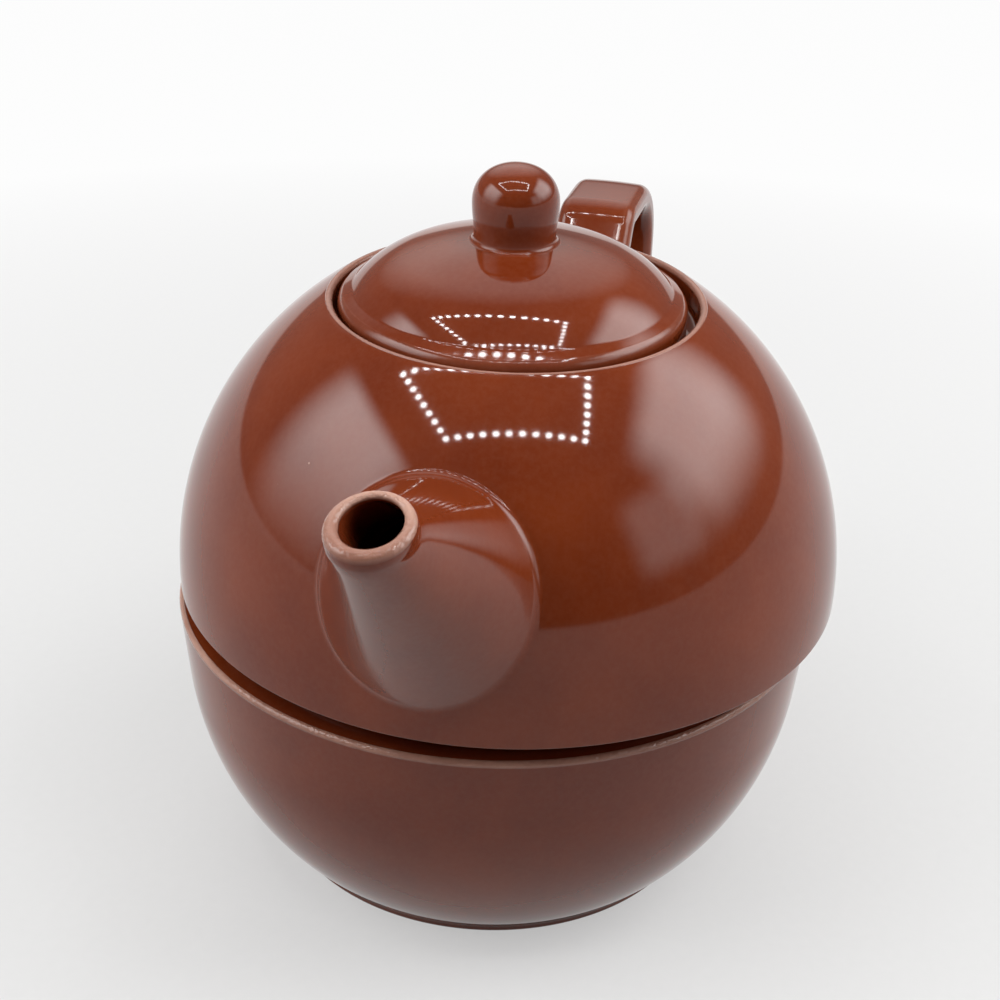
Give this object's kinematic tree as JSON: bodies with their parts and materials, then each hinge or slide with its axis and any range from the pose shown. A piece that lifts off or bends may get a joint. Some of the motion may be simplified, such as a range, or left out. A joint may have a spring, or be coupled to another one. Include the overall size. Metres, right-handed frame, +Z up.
{
  "type": "tea for one teapot",
  "caption": "Ball-shaped glazed teapot that nests in the mouth of its own cup, with a cone spout, strap handles and a lift-off domed lid with a knob.",
  "frame": {"origin": "centre of the flat foot under the cup, on the table", "axes": "+Z up, the spout points along +X, both handles along -X"},
  "size_m": [0.1979, 0.1308, 0.141],
  "materials": {
    "brown_glaze": "glossy dark reddish-brown glaze that breaks to tan at the lips"
  },
  "bodies": {
    "cup": {"cup_bowl": "brown_glaze", "cup_handle": "brown_glaze"},
    "pot": {"pot_body": "brown_glaze", "pot_foot": "brown_glaze", "pot_spout": "brown_glaze", "pot_handle": "brown_glaze"},
    "lid": {"lid_cap": "brown_glaze", "lid_knob": "brown_glaze"}
  },
  "joints": [
    {"name": "pot_lift", "type": "slide", "parent": "cup", "child": "pot", "axis": [0, 0, 1], "range_m": [0, 0.06]},
    {"name": "lid_lift", "type": "slide", "parent": "pot", "child": "lid", "axis": [0, 0, 1], "range_m": [0, 0.05]}
  ]
}
